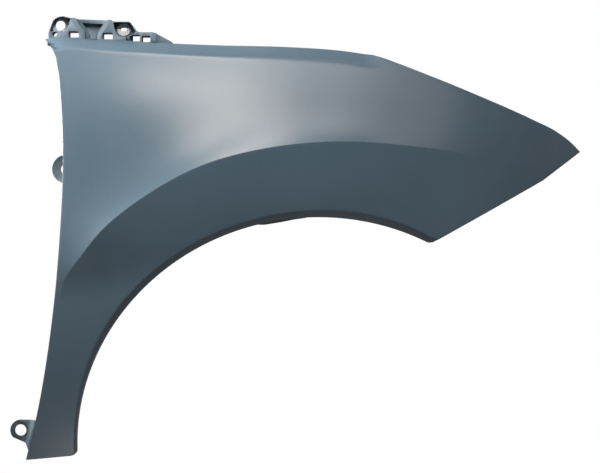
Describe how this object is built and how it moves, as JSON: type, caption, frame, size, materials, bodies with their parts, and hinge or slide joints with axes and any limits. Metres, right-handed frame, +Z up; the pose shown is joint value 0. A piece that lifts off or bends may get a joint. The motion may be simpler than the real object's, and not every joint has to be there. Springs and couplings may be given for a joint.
{
  "type": "car fender",
  "caption": "Right front fender of a passenger car, moulded in one piece with a wheel arch, a flared crease, a pierced rear bracket and two fixing tabs.",
  "frame": {"origin": "front face of the lower fixing tab, half way across the ring beside its hole", "axes": "+X forward along the car, +Y inward from the car's side, +Z up"},
  "size_m": [1.0158, 0.2315, 0.774],
  "materials": {
    "moulded_plastic": "satin dark blue-grey, unpainted"
  },
  "bodies": {
    "root": {"fender_panel": "moulded_plastic"}
  },
  "joints": []
}
